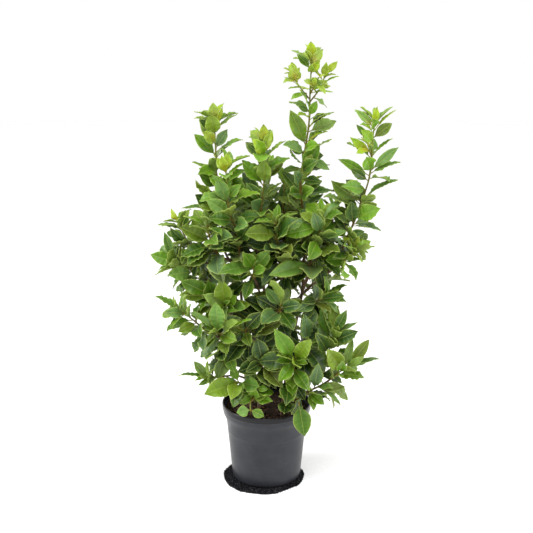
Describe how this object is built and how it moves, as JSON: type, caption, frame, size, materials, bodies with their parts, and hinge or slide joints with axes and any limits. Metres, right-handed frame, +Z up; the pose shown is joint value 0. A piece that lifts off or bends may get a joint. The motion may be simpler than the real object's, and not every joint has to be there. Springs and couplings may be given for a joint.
{
  "type": "potted bay laurel",
  "caption": "Bushy bay laurel with several leafy upright stems, growing in compost in a round dark nursery pot that stands on a thin round fibre mat.",
  "frame": {"origin": "on the underside of the mat, straight below the axis of the pot", "axes": "+Z up along the pot's axis; the front of the plant faces -Y, and +X is to the right of someone who looks at the front"},
  "size_m": [0.5, 0.3657, 0.925],
  "materials": {
    "pot_plastic": "satin",
    "compost": "matte",
    "mat_fibre": "matte",
    "bark": "matte",
    "leaf_old": "satin",
    "leaf_grown": "satin",
    "leaf_young": "satin"
  },
  "bodies": {
    "root": {"mat": "mat_fibre", "pot": "pot_plastic", "shoot_back": "leaf_grown", "shoot_back_left": "leaf_old", "shoot_back_left_high": "leaf_grown", "shoot_back_low_left": "leaf_old", "shoot_back_low_middle": "leaf_old", "shoot_back_low_right": "leaf_old", "shoot_back_middle": "leaf_grown", "shoot_back_right": "leaf_old", "shoot_back_right_high": "leaf_grown", "shoot_centre": "leaf_grown", "shoot_centre_front": "leaf_young", "shoot_centre_inner": "leaf_old", "shoot_centre_low_front": "leaf_old", "shoot_front_lower": "leaf_old", "shoot_front_upper": "leaf_old", "shoot_left": "leaf_grown", "shoot_left_below": "leaf_old", "shoot_left_bright": "leaf_young", "shoot_left_front": "leaf_grown", "shoot_left_low_out": "leaf_grown", "shoot_left_out": "leaf_grown", "shoot_left_upper_front": "leaf_old", "shoot_low_front": "leaf_young", "shoot_low_left": "leaf_grown", "shoot_low_left_hanging": "leaf_old", "shoot_low_left_rim": "leaf_grown", "shoot_low_left_twig": "leaf_grown", "shoot_low_left_upper": "leaf_grown", "shoot_low_right": "leaf_young", "shoot_low_right_hanging": "leaf_old", "shoot_low_right_out": "leaf_grown", "shoot_low_right_up": "leaf_grown", "shoot_middle": "leaf_old", "shoot_right": "leaf_grown", "shoot_right_front": "leaf_grown", "shoot_right_inner": "leaf_grown", "shoot_right_inner_low": "leaf_old", "shoot_right_low": "leaf_young", "shoot_right_middle": "leaf_old", "shoot_rim_front": "leaf_grown", "shoot_tall": "leaf_grown", "soil": "compost", "wood_back": "bark", "wood_left": "bark", "wood_low_left": "bark", "wood_low_right": "bark", "wood_middle": "bark", "wood_tall": "bark"}
  },
  "joints": []
}
